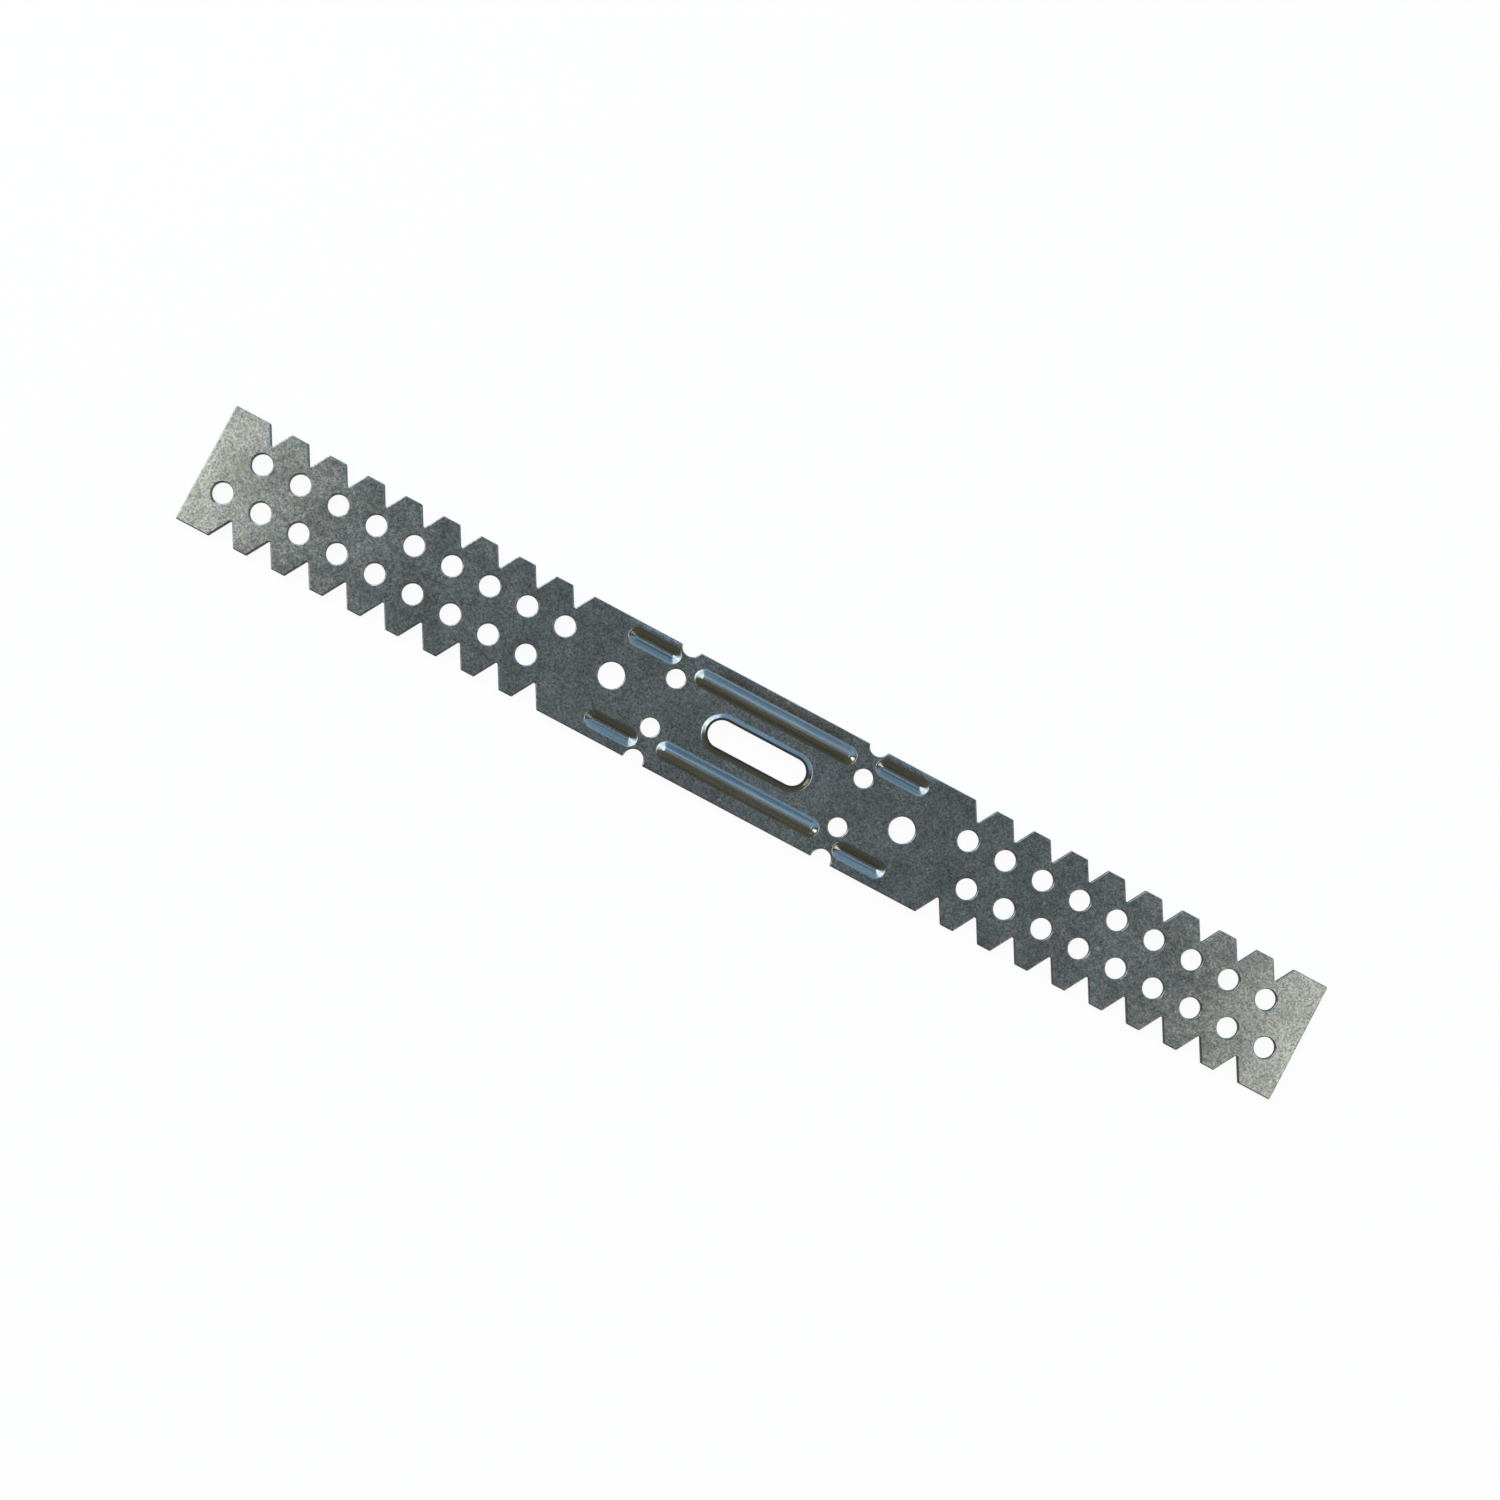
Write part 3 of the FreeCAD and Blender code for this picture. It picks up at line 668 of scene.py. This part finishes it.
# %% Floor
FLOOR_HALF, SHADOW_SHARE = 20.0, 0.06
floor_mesh = bpy.data.meshes.new("floor")
floor_mesh.from_pydata([(-FLOOR_HALF, -FLOOR_HALF, 0), (FLOOR_HALF, -FLOOR_HALF, 0),
                        (FLOOR_HALF, FLOOR_HALF, 0), (-FLOOR_HALF, FLOOR_HALF, 0)], [], [(0, 1, 2, 3)])
floor = bpy.data.objects.new("floor", floor_mesh)
bpy.context.scene.collection.objects.link(floor)
print("floor", 2 * FLOOR_HALF, "m square")

# %% Matt white paper
paper = bpy.data.materials.new("matt_white_paper")
paper.use_nodes = True
tree = paper.node_tree
tree.nodes.clear()
rays = add(tree, "ShaderNodeLightPath").outputs
seen = add(tree, "ShaderNodeMath", {0: rays["Is Camera Ray"], 1: rays["Is Glossy Ray"]},
           operation="ADD").outputs[0]
shown = add(tree, "ShaderNodeMath", {0: seen, 1: rays["Is Transmission Ray"]}, operation="ADD",
            use_clamp=True).outputs[0]
share = add(tree, "ShaderNodeMath", {0: shown, 1: 1 - SHADOW_SHARE}, operation="MULTIPLY").outputs[0]
matt = add(tree, "ShaderNodeBsdfPrincipled",
           {"Base Color": linear("#f2f2f0"), "Roughness": 0.9}).outputs[0]
white = add(tree, "ShaderNodeEmission", {"Color": (1, 1, 1, 1), "Strength": 1.0}).outputs[0]
surface = add(tree, "ShaderNodeMixShader", {0: share, 1: matt, 2: white}).outputs[0]
add(tree, "ShaderNodeOutputMaterial", {"Surface": surface})
floor_mesh.materials.append(paper)

# %% [markdown]
# ## Light
# Bent sheet mirrors whatever stands round it, and that is what draws the beads: blue flanks towards the
# cool side of the room, brown ones towards the dim side, and bright dots at their ends. Lamps alone
# would leave hard patches on the flat sheet, so the world is a soft room. It is dim straight above, where
# the camera stands, and each wall is blended over it by how far a direction leans that way, from 0
# straight up to 1 at the horizon. Two large weak lamps add a little light with a direction.

# %% A soft room as the world
ROOM = (0.351, 0.379, 0.381, 1)
# Bearing from +X in degrees, the leans at which the wall begins and is full, and its colour.
WALLS = [
    (0, 0.355, 0.445, (3.4, 3.2, 2.65, 1)),     # a bright warm band beyond the right leg
    (0, 0.48, 0.58, (0.15, 0.15, 0.14, 1)),     # dark below it
    (180, 0.325, 0.405, (3.6, 3.4, 2.85, 1)),   # a bright warm band beyond the left leg
    (180, 0.55, 0.75, (2.1, 2.3, 2.35, 1)),     # cooler below it
    (95, 0.13, 0.55, (0.57, 0.85, 1.14, 1)),    # the cool side, beyond the upper edge
    (95, 0.92, 0.994, (0.34, 0.52, 0.70, 1)),   # dimmer towards the horizon
    (-90, 0.10, 0.36, (0.24, 0.21, 0.155, 1)),  # the dim brown side, beyond the lower edge
    (-90, 0.92, 0.995, (0.18, 0.15, 0.10, 1)),  # dimmer still towards the horizon
    (-5, 0.965, 0.995, (6.5, 6.2, 5.2, 1)),     # a low warm glow at the horizon, beyond the right leg
]
world = bpy.data.worlds.new("soft_room")
bpy.context.scene.world = world
world.use_nodes = True
tree = world.node_tree
tree.nodes.clear()
toward = add(tree, "ShaderNodeTexCoord").outputs["Generated"]
room = ROOM
for bearing, begin, end, wall_colour in WALLS:
    way = (np.cos(np.radians(bearing)), np.sin(np.radians(bearing)), 0)
    lean = add(tree, "ShaderNodeVectorMath", {0: toward, 1: way}, operation="DOT_PRODUCT").outputs["Value"]
    reach = add(tree, "ShaderNodeMapRange", {"Value": lean, "From Min": begin, "From Max": end},
                interpolation_type="SMOOTHSTEP").outputs[0]
    room = add(tree, "ShaderNodeMix", {"Factor": reach, COLOUR_A: room, COLOUR_B: wall_colour},
               data_type="RGBA").outputs[COLOUR_OUT]
background = add(tree, "ShaderNodeBackground", {"Color": room, "Strength": 1.0}).outputs[0]
add(tree, "ShaderNodeOutputWorld", {"Surface": background})
print("room of", len(WALLS), "walls")


# %% Two soft lamps
def soft_lamp(name, bearing_deg, from_zenith_deg, size, watts, hex_colour):
    """A square lamp one metre from the strip and facing it.

    Its place is given by a bearing from +X and an angle from straight up.
    """
    bearing, fall = np.radians(bearing_deg), np.radians(from_zenith_deg)
    place = Vector((np.sin(fall) * np.cos(bearing), np.sin(fall) * np.sin(bearing), np.cos(fall)))
    data = bpy.data.lights.new(name, "AREA")
    data.size, data.energy, data.color = size, watts, linear(hex_colour)[:3]
    lamp = bpy.data.objects.new(name, data)
    lamp.location = place
    lamp.rotation_euler = place.to_track_quat("Z", "Y").to_euler()
    lamp.visible_camera = False
    bpy.context.scene.collection.objects.link(lamp)
    print(name, "at", [round(c, 2) for c in place], "m")


soft_lamp("cool_lamp", bearing_deg=150, from_zenith_deg=66, size=0.88, watts=5.5, hex_colour="#f4faff")
soft_lamp("warm_lamp", bearing_deg=-8, from_zenith_deg=74, size=0.40, watts=0.5, hex_colour="#fff3dc")

# %% [markdown]
# ## Camera
# The camera looks almost straight down. Its turn, its small lean and its aim were found by matching the
# strip's hole centres with those in the picture, for a camera about a third of a metre above the strip.

# %% Camera
IMAGE_PIXELS, FOCAL_PIXELS = 1500, 1479.9
CAMERA_HEIGHT = 350.0
TURN_DEG, LEAN_ALONG_DEG, LEAN_ACROSS_DEG = 28.02, -0.926, -1.264
AIM = Vector((-1.723, 0.357, 0.0))
lean_along = Matrix.Rotation(np.radians(LEAN_ALONG_DEG), 3, "Y")
lean_across = Matrix.Rotation(-np.radians(LEAN_ACROSS_DEG), 3, "X")
lean = lean_along @ lean_across
turn = Matrix.Rotation(np.radians(TURN_DEG), 3, "Z")
camera_data = bpy.data.cameras.new("camera")
camera_data.sensor_width = 36.0
camera_data.lens = camera_data.sensor_width * FOCAL_PIXELS / IMAGE_PIXELS
camera_data.clip_start, camera_data.clip_end = 0.01, 100.0
camera = bpy.data.objects.new("camera", camera_data)
bpy.context.scene.collection.objects.link(camera)
pose = (lean @ turn).to_4x4()
pose.translation = (AIM + CAMERA_HEIGHT * (lean @ Vector((0, 0, 1)))) * MM
camera.matrix_world = pose
bpy.context.scene.camera = camera
bpy.context.scene.view_settings.view_transform = "Standard"
print("camera at", [round(c / MM, 1) for c in camera.location], "mm,",
      f"lens {camera_data.lens:.2f} mm")
